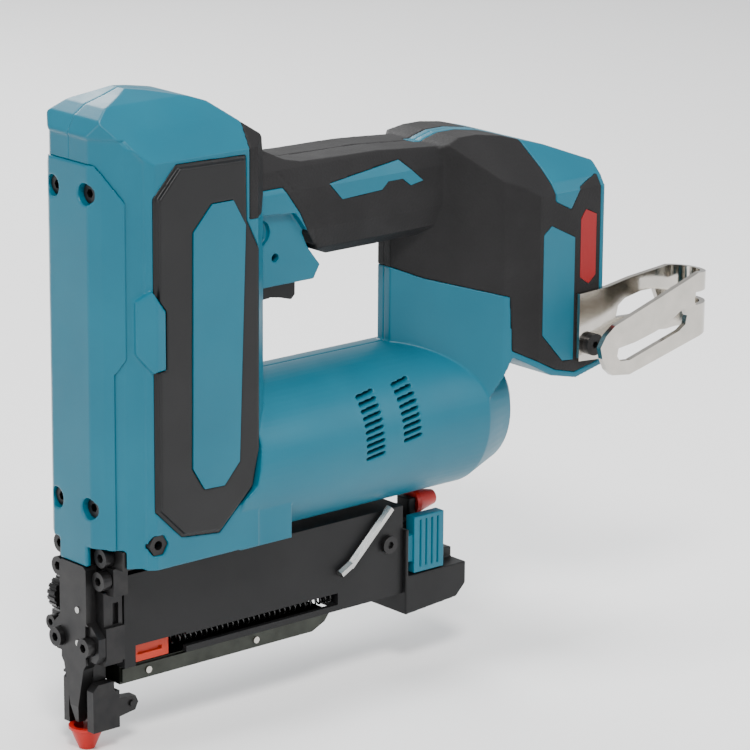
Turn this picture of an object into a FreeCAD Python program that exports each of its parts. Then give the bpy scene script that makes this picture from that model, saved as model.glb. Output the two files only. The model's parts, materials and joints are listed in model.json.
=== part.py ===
import FreeCAD, Part
import math
import os

# Cordless pin and brad nailer, bare tool without its battery.
# Frame: millimetres, origin at the tip of the nose on the line of the driver blade,
# +X from the nose to the battery end, +Y to the tool's right-hand side, +Z up the driver line.

# ---------------------------------------------------------------- driving dimensions
HEIGHT = 240.0            # nose tip to the top of the tower
REAR_X = 218.0            # rear face that the battery slides onto
MOUNT_HALF = 37.5         # half width of the battery mount
TOWER_HALF = 27.0         # half width of the tower
TOWER_FRONT = -5.0
TOWER_REAR = 66.0
TOWER_FOOT = 71.0
COVER_STEP = 0.7          # how far the front cover stands proud of the housings
WALL = 4.2                # outer skin to cavity
RUBBER = 1.8              # thickness of the soft overmoulding
BARREL_R = 30.0
MOTOR_Z = 98.0            # height of the motor's axis

STROKE = 42.0             # travel of the plunger
LIFT_R = 12.0             # pitch radius of the lifting teeth
LIFT_MODULE = 1.5
LIFT_Z = 125.5
TRAIN_MODULE = 1.25
DRIVE_TEETH = 14
WHEEL_TEETH = 30
PLANET_MODULE = 0.8
SUN_TEETH = 12
PLANET_TEETH = 18
RING_TEETH = SUN_TEETH + 2 * PLANET_TEETH
SPRING_X = 20.0           # axis of the main spring, behind the driver line
PLUNGER_Z = 84.0          # underside of the plunger at rest

MAG_FRONT = 8.0
MAG_REAR = 140.0
MAG_HALF = 12.5
MAG_FOOT = 24.5
MAG_TOP = 66.5
RAIL_REAR = 104.0
PEG_Y, PEG_Z = -1.5, 62.3  # peg that holds the spare tip
PEG_X = 153.1            # rear face of the post that carries the peg
SPARE_R = 4.9            # widest radius of the spare tip

SOCKET_HEAD_R = 3.5       # M4 socket head cap screw
SOCKET_HEAD_H = 4.0
M4_R = 2.0
HEX_KEY_AF = 3.0

PARTS = "parts"


# ---------------------------------------------------------------- building blocks
def vec(x, y, z):
    return FreeCAD.Vector(x, y, z)


def box(x0, x1, y0, y1, z0, z1):
    return Part.makeBox(x1 - x0, y1 - y0, z1 - z0, vec(x0, y0, z0))


def rod_x(radius, x0, x1, y, z):
    return Part.makeCylinder(radius, x1 - x0, vec(x0, y, z), vec(1, 0, 0))


def rod_y(radius, y0, y1, x, z):
    return Part.makeCylinder(radius, y1 - y0, vec(x, y0, z), vec(0, 1, 0))


def rod_z(radius, z0, z1, x, y):
    return Part.makeCylinder(radius, z1 - z0, vec(x, y, z0), vec(0, 0, 1))


def face_of(points):
    return Part.Face(Part.makePolygon(points + [points[0]]))


def inset_outline(points, inset):
    """Move every edge of a closed outline inward by the inset, keeping its corners sharp."""
    if inset == 0:
        return points
    following = points[1:] + points[:1]
    area = sum(a[0] * b[1] - b[0] * a[1] for a, b in zip(points, following))
    inward = math.copysign(1.0, area)
    normals = []
    for a, b in zip(points, following):
        length = math.dist(a, b)
        normals.append((-inward * (b[1] - a[1]) / length, inward * (b[0] - a[0]) / length))
    moved = []
    for k, (x, y) in enumerate(points):
        before, after = normals[k - 1], normals[k]
        reach = inset / (1 + before[0] * after[0] + before[1] * after[1])
        moved.append((x + reach * (before[0] + after[0]), y + reach * (before[1] + after[1])))
    return moved


def plate_xz(points, y0, y1, inset=0.0):
    face = face_of([vec(x, y0, z) for x, z in inset_outline(points, inset)])
    return face.extrude(vec(0, y1 - y0, 0))


def plate_xy(points, z0, z1, inset=0.0):
    face = face_of([vec(x, y, z0) for x, y in inset_outline(points, inset)])
    return face.extrude(vec(0, 0, z1 - z0))


def plate_yz(points, x0, x1, inset=0.0):
    face = face_of([vec(x0, y, z) for y, z in inset_outline(points, inset)])
    return face.extrude(vec(x1 - x0, 0, 0))


def both_sides(half):
    """Close an outline given for y >= 0 with its mirror image."""
    return half + [(a, -b) for a, b in reversed(half)]


def both_sides_yz(half):
    return half + [(-a, b) for a, b in reversed(half)]


def mirrored(shape):
    return shape.mirror(vec(0, 0, 0), vec(0, 1, 0))


def join(shapes):
    result = shapes[0]
    for shape in shapes[1:]:
        result = result.fuse(shape)
    return result.removeSplitter()


def cut_all(shape, tools):
    for tool in tools:
        shape = shape.cut(tool)
    return shape


def group(shapes):
    return Part.makeCompound(shapes)


def turned(shape, centre, axis, degrees):
    copy = shape.copy()
    copy.rotate(centre, axis, degrees)
    return copy


def hexagon_prism(across_flats, base, axis, length):
    """A hexagonal bar that starts at base and runs along one of the three axes."""
    radius = across_flats / math.sqrt(3)
    ring = []
    for k in range(6):
        a, b = radius * math.cos(k * math.pi / 3), radius * math.sin(k * math.pi / 3)
        ring.append({"x": vec(0, a, b), "y": vec(a, 0, b), "z": vec(a, b, 0)}[axis] + base)
    way = {"x": vec(1, 0, 0), "y": vec(0, 1, 0), "z": vec(0, 0, 1)}[axis]
    return face_of(ring).extrude(way * length)


def socket_screw(x, y, z, length, radius=M4_R, head_r=SOCKET_HEAD_R, head_h=SOCKET_HEAD_H):
    """Cap screw that points rearward; x is where its head rests."""
    head = rod_x(head_r, x - head_h, x, y, z)
    head = head.makeChamfer(0.35, [head.Edges[0]]) if head.Edges else head
    shank = rod_x(radius, x - 0.5, x + length, y, z)
    socket = hexagon_prism(HEX_KEY_AF * head_r / SOCKET_HEAD_R, vec(x - head_h - 0.1, y, z), "x",
                           head_h * 0.6)
    return head.fuse(shank).cut(socket).removeSplitter()


# ---------------------------------------------------------------- gear teeth
def tooth_flank(base_r, root_r, tip_r, steps=4):
    """Radius and angle pairs up one flank of an involute tooth, from its root to its tip."""
    flank = []
    start_r = max(base_r, root_r)
    if root_r < base_r:
        flank.append((root_r, 0.0))
    for k in range(steps + 1):
        radius = start_r + (tip_r - start_r) * k / steps
        roll = math.sqrt(max((radius / base_r) ** 2 - 1, 0.0))
        flank.append((radius, roll - math.atan(roll)))
    return flank


def gear_outline(teeth, module, backlash, first=0, last=None, addendum=1.0, dedendum=1.25,
                 phase=0.0):
    """Outline in the plane of a gear; teeth outside first..last are left off."""
    last = teeth if last is None else last
    pitch_r = teeth * module / 2
    base_r = pitch_r * math.cos(math.radians(20))
    root_r = pitch_r - dedendum * module
    flank = tooth_flank(base_r, root_r, pitch_r + addendum * module)
    roll = math.tan(math.radians(20))
    half = math.pi / (2 * teeth) - backlash / (2 * pitch_r) + roll - math.radians(20)
    points = []
    for k in range(teeth):
        middle = phase + 2 * math.pi * k / teeth
        if first <= k < last:
            side = [(r, middle - half + a) for r, a in flank]
            back = [(r, middle + half - a) for r, a in reversed(flank)]
            points += side + back
        else:
            points += [(root_r, middle - math.pi / (2 * teeth)), (root_r, middle + math.pi / (2 * teeth))]
    return [(r * math.cos(a), r * math.sin(a)) for r, a in points]


def gear_x(outline, x0, x1, y, z):
    return plate_yz([(y + a, z + b) for a, b in outline], x0, x1)


# ---------------------------------------------------------------- outer body
TOWER_PLAN = both_sides([(TOWER_FRONT, 11), (-2, 15.7), (3, 21.4), (12, TOWER_HALF),
                         (58, TOWER_HALF), (TOWER_REAR, 20)])
TOWER_SIDE = [(TOWER_FRONT, TOWER_FOOT), (TOWER_FRONT, 227), (-2, 232.5), (3, 235.8), (12, 238.3),
              (17, HEIGHT), (25, 238.8), (40, 235.6), (46, 233.5), (57, 225), (64, 219.8),
              (TOWER_REAR, 212), (TOWER_REAR, TOWER_FOOT)]
TOWER_FACE = both_sides_yz([(TOWER_HALF, TOWER_FOOT), (TOWER_HALF, 217.5), (18.5, 228), (11, 236.2),
                            (4, HEIGHT)])
HANDLE_SIDE = [(58, 214), (66, 213), (76, 210.5), (83, 207), (90, 205.6), (107, 205.2), (126, 204.9),
               (156, 202.6), (156, 172), (146, 169.5), (128, 169), (104, 169), (96, 172), (84, 188),
               (58, 190)]
HANDLE_FACE = both_sides_yz([(9, 168.5), (14.5, 173), (16.5, 181), (16.5, 196), (14, 204), (9, 209.6),
                             (7, 231)])
ROOT_SIDE = [(58, 197), (78, 197), (86, 187), (92, 174), (98, 166.5), (95, 161.5), (58, 161.5)]
ROOT_HALF = 13.5
MOUNT_PLAN = both_sides([(140.5, 3.5), (157, 18), (172, 32), (185, MOUNT_HALF), (REAR_X, MOUNT_HALF)])
MOUNT_SIDE = [(140, 200), (152, 201.5), (157, 203.5), (163, 205), (172, 205), (183, 203.3), (200, 198.6),
              (REAR_X, 191.5), (REAR_X, 113), (205, 110), (192, 113), (176, 122), (168, 105), (140, 105)]
MOUNT_FACE = both_sides_yz([(MOUNT_HALF, 100), (MOUNT_HALF, 183), (35, 187), (17, 204), (9, 212)])
BARREL_SIDE = [(168, BARREL_R), (183, 25), (193, 14), (197, 4)]
SKIRT_REAR = 74.0


def barrel(inset):
    outline = [(50, 0), (50, BARREL_R - inset)]
    outline += [(x - inset, max(r - inset, 0.8)) for x, r in BARREL_SIDE]
    outline += [(BARREL_SIDE[-1][0] - inset, 0)]
    face = face_of([vec(x, 0, MOTOR_Z + r) for x, r in outline])
    return face.revolve(vec(0, 0, MOTOR_Z), vec(1, 0, 0), 360)


def three_way(plan, side, front, inset):
    """The solid whose outlines from above, from the side and from the front are given."""
    solid = plate_xz(side, -60, 60, inset)
    solid = solid.common(plate_xy(plan, 0, 300, inset))
    return solid.common(plate_yz(front, -20, 300, inset))


def outer_body(inset):
    tower = three_way(TOWER_PLAN, TOWER_SIDE, TOWER_FACE, inset)
    handle = plate_xz(HANDLE_SIDE, -30, 30, inset).common(plate_yz(HANDLE_FACE, 0, 200, inset))
    root = plate_xz(ROOT_SIDE, -ROOT_HALF + inset, ROOT_HALF - inset, inset)
    mount = three_way(MOUNT_PLAN, MOUNT_SIDE, MOUNT_FACE, inset)
    skirt = box(50, SKIRT_REAR - inset, -26.5 + inset, 26.5 - inset, TOWER_FOOT - 0.5 + inset, MOTOR_Z)
    return join([tower, handle, root, mount, barrel(inset), skirt])


# Outline, seen from the side, of everything that the soft black overmoulding covers.
GRIP_REGION = [(54.2, 217), (57, 232), (60, 250), (156, 250), (156, 214), (189, 205), (192, 192),
               (193, 180), (201, 176), (206, 184), (216.2, 187.5), (216.2, 115), (204, 112.4),
               (194, 115), (175.6, 124.5), (174.5, 145.5), (150, 152.5), (138, 158), (126, 163), (121, 160),
               (101, 160), (99.5, 168), (92, 176), (86, 188), (78.5, 198), (66, 198), (64, 192),
               (54.2, 192)]

# Rear edge of the front cover, seen from the side: narrower below its shoulder, top corner cut off.
COVER_EDGE = [(-20, 60), (0.8, 60), (0.8, 143), (3.5, 148.5), (3.5, 204), (-3.5, 217), (-20, 217)]
STEP_ZONE = [(-20, 60), (9, 60), (9, 218), (4, 226), (-20, 226)]
TAB_OUTLINE = [(5.9, 169.2), (10.2, 172.8), (15.8, 165.2), (15.8, 144), (10.4, 143.6), (5.9, 150.3)]
TAB_PLAN = [(5, 21), (5, 23.2), (10.4, 28.2), (11.2, 28.9), (16, 28.9), (16, 21)]

PANEL_OUTLINE = [(11.5, 205.5), (21.5, 216.3), (52.7, 215.5), (53, 192), (58.5, 181), (58.5, 108),
                 (55.5, 94), (40, 79.5), (23, 81.2), (11.5, 92.5)]
PANEL_OUT = 28.6
INSET_OUTLINE = [(27.5, 191.5), (36, 200.6), (45.5, 200.6), (51, 191), (48, 105), (41, 97.3),
                 (32, 97.6), (26.8, 106)]
MOUNT_INSET = [(187, 168), (191, 171), (203, 165), (203, 117.5), (197.5, 118), (187, 129.5)]
BADGE_OUTLINE = [(206, 149), (206, 171.5), (208.5, 175), (214, 172.5), (214, 149), (210.5, 146)]
HANDLE_INSET = [(100, 196.5), (134, 200.5), (145, 191.5), (139, 190.5), (135, 193.5), (128, 193.5),
                (125, 190.8), (106, 190)]

FRONT_SCREWS = [(206.5, 9.4), (93.0, 9.4)]       # height and half spacing of the cover's screws
FRONT_HEAD_X = 1.6
FOOT_SCREW = (74.7, 12.0)
GUIDE_SCREW = (66.3, 12.0)
NOSE_SCREW = (41.3, 8.3)
VENT_BANKS = [(111.5, 106.0, 10), (129.5, 108.5, 9)]
VENT_PITCH = 2.45
HOOK_X, HOOK_Z = 210.0, 123.0             # the hook's screw
NUT_X, NUT_Z = 13.0, 80.0                 # nut in the side of the tower


def vent_slots():
    slots = []
    for x, z_middle, count in VENT_BANKS:
        for k in range(count):
            z = z_middle + (k - (count - 1) / 2) * VENT_PITCH
            slot = box(x - 4.5, x + 4.5, -31, 31, z - 0.65, z + 0.65)
            slots.append(turned(slot, vec(x, 0, z), vec(0, 1, 0), -8))
    return slots


SPINE = (152.0, 3.2, 190.0)               # bare strip along the top of the mount: start, half width, height
GRIP_GROOVE = [(76.8, 203.6), (85.6, 192.4), (92.6, 180.3), (95.9, 168.1), (96.7, 168.1), (93.4, 180.7),
               (86.2, 192.8), (77.4, 204.0)]
GROOVE_DEPTH = 0.5
HOUSING_SCREW_SITES = [(20, 224), (69.5, 182), (79, 77), (152, 86), (162, 195), (162, 119)]
BOSS_R = 4.2


def housing_screw(x, z):
    head = rod_y(3.2, 13.4, 16.2, x, z)
    shank = rod_y(1.6, -9, 13.6, x, z)
    slot = hexagon_prism(2.6, vec(x, 14.6, z), "y", 2)
    return head.fuse(shank).cut(slot)


def housing_halves():
    outside = outer_body(0)
    skin = outside.cut(outer_body(RUBBER))
    region = plate_xz(GRIP_REGION, -60, 60)
    start, half, height = SPINE
    rubber = skin.common(region).cut(box(start, REAR_X + 1, -half, half, height, HEIGHT))
    cavity = outer_body(WALL)
    shell = outside.cut(cavity).cut(rubber)
    for x, z in HOUSING_SCREW_SITES:
        boss = rod_y(BOSS_R, -60, 60, x, z).common(outside)
        shell = shell.fuse(boss.cut(rubber))
        shell = shell.cut(rod_y(1.75, -10, 13.8, x, z)).cut(rod_y(3.5, 13.2, 60, x, z))
        rubber = rubber.cut(rod_y(3.5, 13.2, 60, x, z))
    root_x, root_z = HOUSING_SCREW_SITES[1]
    shell = shell.cut(rod_y(4.9, -60, -11.5, root_x, root_z))
    groove = plate_xz(GRIP_GROOVE, -30, 30).common(rubber).cut(outer_body(GROOVE_DEPTH))
    return outside, shell, rubber.cut(groove)


def side_tab(side):
    """Wedge of the housing that laps over the front edge of the side panel."""
    tab = plate_xz(TAB_OUTLINE, 20, 30).common(plate_xy(TAB_PLAN, 100, 200))
    crown = plate_xz(TAB_OUTLINE, 28.2, 30).cut(plate_xz(TAB_OUTLINE, 28.2, 30, 0.7))
    tab = tab.cut(crown)
    return tab if side > 0 else mirrored(tab)


def side_panel(side):
    body = plate_xz(PANEL_OUTLINE, 25.2, PANEL_OUT)
    rim = plate_xz(PANEL_OUTLINE, 25.2, 26.9)
    crown = plate_xz(PANEL_OUTLINE, 26.9, PANEL_OUT, 1.4)
    panel = rim.fuse(crown).common(body)
    panel = panel.cut(plate_xz(INSET_OUTLINE, 26.9, PANEL_OUT + 1))
    panel = panel.cut(plate_xz(TAB_OUTLINE, 20, 30, -0.1))
    return panel if side > 0 else mirrored(panel)


def side_inset(side):
    plate = plate_xz(INSET_OUTLINE, 26.9, 28.9, 0.08)
    return plate if side > 0 else mirrored(plate)


def battery_bay():
    """Hollow behind the rear face that the battery's rails slide into from below."""
    return box(206, REAR_X + 1, -27, 27, 105, 178)


def make_body_nodes(nodes):
    outside, shell, rubber = housing_halves()
    pockets = [plate_xz(PANEL_OUTLINE, 25.2, 40), mirrored(plate_xz(PANEL_OUTLINE, 25.2, 40))]
    mount_insets = {}
    badges = {}
    grip_insets = {}
    for side, name in ((1, "right"), (-1, "left")):
        plate = plate_xz(MOUNT_INSET, MOUNT_HALF - RUBBER, MOUNT_HALF)
        badge = plate_xz(BADGE_OUTLINE, MOUNT_HALF - RUBBER, MOUNT_HALF)
        handle = plate_xz(HANDLE_INSET, 12, 17).common(outside.cut(outer_body(RUBBER)))
        if side < 0:
            plate, badge, handle = mirrored(plate), mirrored(badge), mirrored(handle)
        mount_insets[name], badges[name], grip_insets[name] = plate, badge, handle
    bay = battery_bay()
    shell = cut_all(shell, pockets + [bay] + vent_slots())
    bay_block = box(199, 206, -31, 31, 108, 182).common(outer_body(WALL - 0.01))
    shell = shell.fuse(bay_block)
    shell = shell.cut(box(198, 207, -24, 24, 128, 172))
    trigger_well = box(74.2, 94.5, -7, 7, 155, 192)
    shell = shell.cut(trigger_well)
    shell = shell.cut(rod_y(1.55, -20, 20, 77, 172))
    shell = shell.cut(box(-2.8, 52.3, -20.3, 20.3, 60, 78.3))
    cover_zone = plate_xz(COVER_EDGE, -40, 40)
    cover = shell.common(cover_zone)
    shell = shell.cut(cover_zone)
    step_zone = plate_xz(STEP_ZONE, -40, 40)
    shell = shell.cut(step_zone.common(outside).cut(outer_body(COVER_STEP)))
    for side in (-1, 1):
        shell = shell.fuse(side_tab(side))
    for y0, y1 in ((-34, -27), (27, 34)):
        shell = shell.fuse(box(205.9, 214.4, y0, y1, HOOK_Z - 7, HOOK_Z + 7))
        shell = shell.cut(hexagon_prism(7.1, vec(HOOK_X, y0 + 1.1 * (y0 < 0), HOOK_Z), "y", 5.9))
    hook_hole = rod_y(2.15, -60, 60, HOOK_X, HOOK_Z)
    shell = shell.cut(hook_hole)
    rubber = cut_all(rubber, pockets + list(mount_insets.values()) + list(badges.values()))
    rubber = cut_all(rubber, list(grip_insets.values()) + [hook_hole, trigger_well])
    nut_seat = hexagon_prism(7.3, vec(NUT_X, -30, NUT_Z), "y", 6.4)
    shell = shell.cut(nut_seat).cut(rod_y(2.1, -30, -18, NUT_X, NUT_Z))

    for height, spread in FRONT_SCREWS:
        for y in (-spread, spread):
            shell = shell.cut(rod_x(5.9, -3.5, 6.3, y, height))
            cover = cover.fuse(rod_x(5.6, TOWER_FRONT + 0.2, 6.0, y, height).common(outside))
            cover = cover.cut(rod_x(3.9, TOWER_FRONT - 1, FRONT_HEAD_X, y, height))
            cover = cover.cut(rod_x(2.2, 0, 7, y, height))
    cover = cover.cut(box(-2.3, 4, -4.2, 4.2, 77, PLUNGER_Z + STROKE + 16))
    for side in (-1, 1):
        y0, y1 = sorted((side * 7.9, side * 16.2))
        cover = cover.cut(box(-10, 10, y0, y1, 60, 78.6))

    left = box(-30, 300, -60, 0, 0, 300)
    right = box(-30, 300, 0, 60, 0, 300)
    nodes["housing_left"] = shell.common(left)
    nodes["housing_right"] = shell.common(right)
    nodes["grip_left"] = rubber.common(left)
    nodes["grip_right"] = rubber.common(right)
    nodes["front_cover"] = cover
    nodes["side_panel_right"] = side_panel(1)
    nodes["side_panel_left"] = side_panel(-1)
    plates = [side_inset(1), side_inset(-1)] + list(mount_insets.values()) + list(grip_insets.values())
    nodes["trim_plates"] = group(plates)
    nodes["mount_badges"] = group(list(badges.values()))
    nodes["housing_screws"] = group([housing_screw(x, z) for x, z in HOUSING_SCREW_SITES])


# ---------------------------------------------------------------- frame, nose and driver
GUIDE_TOP = TOWER_FOOT - 0.1
DOWELS = [(54.0, -2.9), (41.5, -2.9)]      # height and side offset of the nose plate's dowels


def drive_frame():
    """Aluminium frame: foot, rear web, head plate and the posts that the cover screws enter."""
    foot = box(2, 52, -20, 20, GUIDE_TOP, 78)
    tongue = box(-2.6, 2, -6, 6, GUIDE_TOP, 78)
    web = box(48.5, 52, -16, 16, GUIDE_TOP, 218)
    head = box(6, 52, -14, 14, 212, 218)
    frame = join([foot, tongue, web, head])
    for height, spread in FRONT_SCREWS:
        z0, z1 = (200, 213) if height > 150 else (77, 99)
        for y0, y1 in ((-14, -5.5), (5.5, 14)):
            frame = frame.fuse(box(6.3, 9.3, y0, y1, z0, z1))
        for y in (-spread, spread):
            frame = frame.cut(rod_x(M4_R + 0.1, 6, 10, y, height))
    for y in (-FOOT_SCREW[1], FOOT_SCREW[1]):
        frame = frame.cut(rod_x(M4_R + 0.1, 1, 15, y, FOOT_SCREW[0]))
    frame = frame.cut(box(-1.4, 1.4, -1.9, 1.9, 70, 79))
    frame = frame.cut(rod_z(5.05, 70, 220, SPRING_X, 0))
    frame = frame.cut(rod_x(6.02, 48, 53, 0, MOTOR_Z)).cut(rod_x(5.02, 48, 53, 0, LIFT_Z))
    return frame.cut(box(48, 53, -5, 5, 160, 200)).removeSplitter()


def driver_guide():
    """Steel guide behind the driver blade, with the wide head that bolts to the frame."""
    head = box(0.9, 7.3, -15.8, 15.8, 60.5, GUIDE_TOP)
    block = box(-0.9, 7.3, -12.2, 12.2, 34, GUIDE_TOP)
    ears = box(-0.9, 7.3, -13.6, 13.6, 35.5, 48.5)
    nose = plate_yz(both_sides_yz([(3.2, 14), (5.6, 21), (5.6, 34.5)]), -0.9, 4.6)
    guide = join([head, block, ears, nose])
    guide = guide.cut(box(-1, 0.75, -1.35, 1.35, 10, 73))
    side_slots = [box(3.0, 5.6, -13, -10.6, 49, 57), box(3.0, 5.6, 10.6, 13, 49, 57)]
    guide = cut_all(guide, side_slots + [rod_x(1.4, 2.0, 8, 0, 30)])
    for z, spread in (GUIDE_SCREW, NOSE_SCREW):
        for y in (-spread, spread):
            guide = guide.cut(rod_x(M4_R + 0.1, -2, 8, y, z))
    for y0, y1 in ((-16, -8.2), (8.2, 16)):
        guide = guide.cut(box(-1, 0.9, y0, y1, 61.5, 72))
    for z, y in DOWELS:
        guide = guide.cut(rod_x(1.25, -1, 4, y, z))
    return guide.removeSplitter()


NOSE_PLATE = both_sides_yz([(0.9, 10.5), (5.8, 32), (8.5, 35.6), (11.5, 35.6), (13.4, 38), (13.4, 45),
                            (11.2, 47.2), (7.8, 50), (7.8, 69.6), (6.4, GUIDE_TOP)])


def nose_plate():
    """Front plate that closes the driver channel; its two ears take the nose screws."""
    plate = plate_yz(NOSE_PLATE, -5.4, -1.0)
    plate = plate.cut(plate_xz([(-6, 17), (-5.4, 17), (-4.0, 10), (-6, 10)], -3, 3))
    plate = plate.cut(box(-6, -4.2, 7.2, 14, 30, 49)).cut(box(-6, -4.2, -14, -7.2, 30, 49))
    for y in (-NOSE_SCREW[1], NOSE_SCREW[1]):
        plate = plate.cut(rod_x(M4_R + 0.15, -7, 0, y, NOSE_SCREW[0]))
        plate = plate.cut(rod_x(SOCKET_HEAD_R + 0.15, -7, -3.4, y, NOSE_SCREW[0]))
    for z, y in DOWELS:
        plate = plate.cut(rod_x(1.25, -6, 0, y, z))
    return plate.removeSplitter()


def nose_pins():
    return group([rod_x(1.2, -5.8, 3.6, y, z) for z, y in DOWELS])


def screw_pair(height, spread, seat_x, length):
    return [socket_screw(seat_x, y, height, length) for y in (-spread, spread)]


def front_screws():
    """All the socket screws that are reached from the front of the tool."""
    screws = [socket_screw(1.9, 19.6, 42.5, 6, 1.5, 2.75, 3.0)]
    for height, spread in FRONT_SCREWS:
        screws += screw_pair(height, spread, FRONT_HEAD_X, 7.6)
    screws += screw_pair(FOOT_SCREW[0], FOOT_SCREW[1], 1.95, 10)
    screws += screw_pair(GUIDE_SCREW[0], GUIDE_SCREW[1], 0.85, 6)
    return group(screws + screw_pair(NOSE_SCREW[0], NOSE_SCREW[1], -3.45, 9))


# Depth dial and its bracket, on the right-hand side of the nose.
DIAL_X, DIAL_Z, DIAL_R = 3.6, 53.5, 7.0
DIAL_Y0, DIAL_Y1 = 15.0, 19.4


def dial_bracket():
    arm = box(2.0, 8.0, 14.2, 22.8, 38, 46.2)
    foot = box(2.0, 7.0, 13.75, 14.5, 38, 46.2)
    post = box(2.4, 6.4, 13.0, 14.4, 46.2, 58)
    bracket = join([arm, foot, post])
    bracket = bracket.cut(box(0, 9, 12, 13.7, 34, 49)).cut(rod_x(1.6, 1, 9, 19.6, 42.5))
    pin = rod_y(1.5, 14.0, 20.4, DIAL_X + 0.8, DIAL_Z)
    return bracket.fuse(pin).removeSplitter()


def depth_dial():
    wheel = rod_y(DIAL_R, DIAL_Y0, DIAL_Y1, DIAL_X + 0.8, DIAL_Z)
    notches = []
    for k in range(18):
        angle = 2 * math.pi * k / 18
        notches.append(rod_y(0.55, DIAL_Y0 - 1, DIAL_Y1 + 1, DIAL_X + 0.8 + DIAL_R * math.cos(angle),
                             DIAL_Z + DIAL_R * math.sin(angle)))
    wheel = cut_all(wheel, notches)
    return wheel.cut(rod_y(1.55, 10, 25, DIAL_X + 0.8, DIAL_Z))


def contact_arm():
    """Steel shoe that slides up the nose when the tool is pressed on the work."""
    left = box(-4.2, 5.2, -9.8, -6.15, 8.6, 26.5)
    right = box(-3.2, 5.2, 6.15, 9.2, 8.6, 28.0)
    back = box(5.1, 7.6, -9.8, 9.2, 8.6, 22.6)
    lug = plate_xz([(7.5, 12.5), (14.6, 13.6), (16.0, 16.4), (14.8, 19.0), (7.5, 19.6)], -9.8, -5.8)
    link = box(5.1, 7.6, 6.2, 9.2, 22, 28.0)
    floor = box(-3.2, 7.6, -9.2, 9.2, 8.6, 10.4).cut(box(-6, 4.9, -5.9, 5.9, 8, 11))
    arm = join([left, right, back, lug, link, floor])
    arm = arm.cut(plate_xz([(-4.3, 27), (-4.3, 24), (-1.5, 27)], -12, 12))
    return arm.cut(rod_y(1.25, -12, -4, 13.0, 16.4)).removeSplitter()


def contact_pin():
    return rod_y(1.2, -10.6, -5.4, 13.0, 16.4)


def nose_adapter():
    """Soft tip that keeps the nose from marking the work; the nail leaves through it."""
    cone = Part.makeCone(2.9, 6.6, 8.6, vec(0, 0, 0), vec(0, 0, 1))
    rim = rod_z(6.6, 7.6, 8.55, 0, 0)
    tip = cone.fuse(rim).cut(rod_z(4.75, 6.2, 12, 0, 0))
    return tip.cut(rod_z(1.9, -1, 12, 0, 0)).removeSplitter()


def spare_adapter():
    """Second tip, kept on a peg at the top of the magazine's end cap."""
    base_x = PEG_X + 0.1
    base = rod_x(SPARE_R, base_x, base_x + 2.0, PEG_Y, PEG_Z)
    cone = Part.makeCone(SPARE_R, 2.9, 9.0, vec(base_x + 2.0, PEG_Y, PEG_Z), vec(1, 0, 0))
    peg_hole = rod_x(1.9, base_x - 1, base_x + 14, PEG_Y, PEG_Z)
    return base.fuse(cone).cut(peg_hole).removeSplitter()


# ---------------------------------------------------------------- plunger, spring and lifting train
RACK_X0, RACK_X1 = 36.0, 41.0
WHEEL_X0, WHEEL_X1 = 42.5, 47.5
LIFT_TEETH = int(2 * LIFT_R / LIFT_MODULE)
LIFT_ACTIVE = 10
BACKLASH = 0.25


def rack():
    """Straight teeth that face the gear; a space sits level with the gear's first tooth at rest."""
    pitch = math.pi * LIFT_MODULE
    slope = math.tan(math.radians(20))
    top, bottom = 1.0 * LIFT_MODULE, 1.25 * LIFT_MODULE
    teeth = box(RACK_X0, RACK_X1, LIFT_R + bottom, 18.6, 82.0, 131.0)
    half = pitch / 4 - BACKLASH / 2
    for k in range(LIFT_ACTIVE):
        z = LIFT_Z + pitch / 2 - k * pitch
        outline = [(LIFT_R - top, z - half + top * slope), (LIFT_R - top, z + half - top * slope),
                   (LIFT_R + bottom, z + half + bottom * slope),
                   (LIFT_R + bottom, z - half - bottom * slope)]
        teeth = teeth.fuse(plate_yz(outline, RACK_X0, RACK_X1))
    return teeth


def plunger():
    disc = rod_z(11.4, PLUNGER_Z, PLUNGER_Z + 12, SPRING_X, 0)
    nose = box(-1.8, 12, -3.4, 3.4, PLUNGER_Z, PLUNGER_Z + 12)
    cross = box(16, 35, 4, 18.6, PLUNGER_Z, PLUNGER_Z + 10)
    corner = box(34, RACK_X1, 14.3, 18.6, PLUNGER_Z, PLUNGER_Z + 10)
    body = join([disc, nose, cross, corner, rack()])
    body = body.cut(rod_z(5.06, 60, 140, SPRING_X, 0))
    return body.cut(box(-0.65, 0.65, -1.25, 1.25, 80, PLUNGER_Z + 9)).removeSplitter()


def driver_blade():
    return box(-0.6, 0.6, -1.2, 1.2, 2.5, PLUNGER_Z + 8.9)


def helix_spring(mean_r, wire_r, length, turns, base, axis="z"):
    """Closed-end coil spring made of straight-swept wire round a helix."""
    helix = Part.makeHelix(length / turns, length, mean_r)
    start = helix.Edges[0].Vertexes[0].Point
    ring = Part.Wire([Part.makeCircle(wire_r, start, vec(0, 1, 0))])
    coil = Part.Wire(helix).makePipeShell([ring], True, True)
    if axis == "x":
        coil.rotate(vec(0, 0, 0), vec(0, 1, 0), 90)
    if axis == "y":
        coil.rotate(vec(0, 0, 0), vec(1, 0, 0), -90)
    coil.translate(base)
    return coil


def main_spring():
    wire = 1.5
    z0, z1 = PLUNGER_Z + 12.2 + wire, 211.8 - wire
    return helix_spring(10.0, wire, z1 - z0, 13, vec(SPRING_X, 0, z0))


def bumper():
    return rod_z(9.5, 78.05, 83.7, SPRING_X, 0).cut(rod_z(5.2, 70, 90, SPRING_X, 0))


def guide_rod():
    return rod_z(5.0, 72.2, 217.8, SPRING_X, 0)


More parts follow.
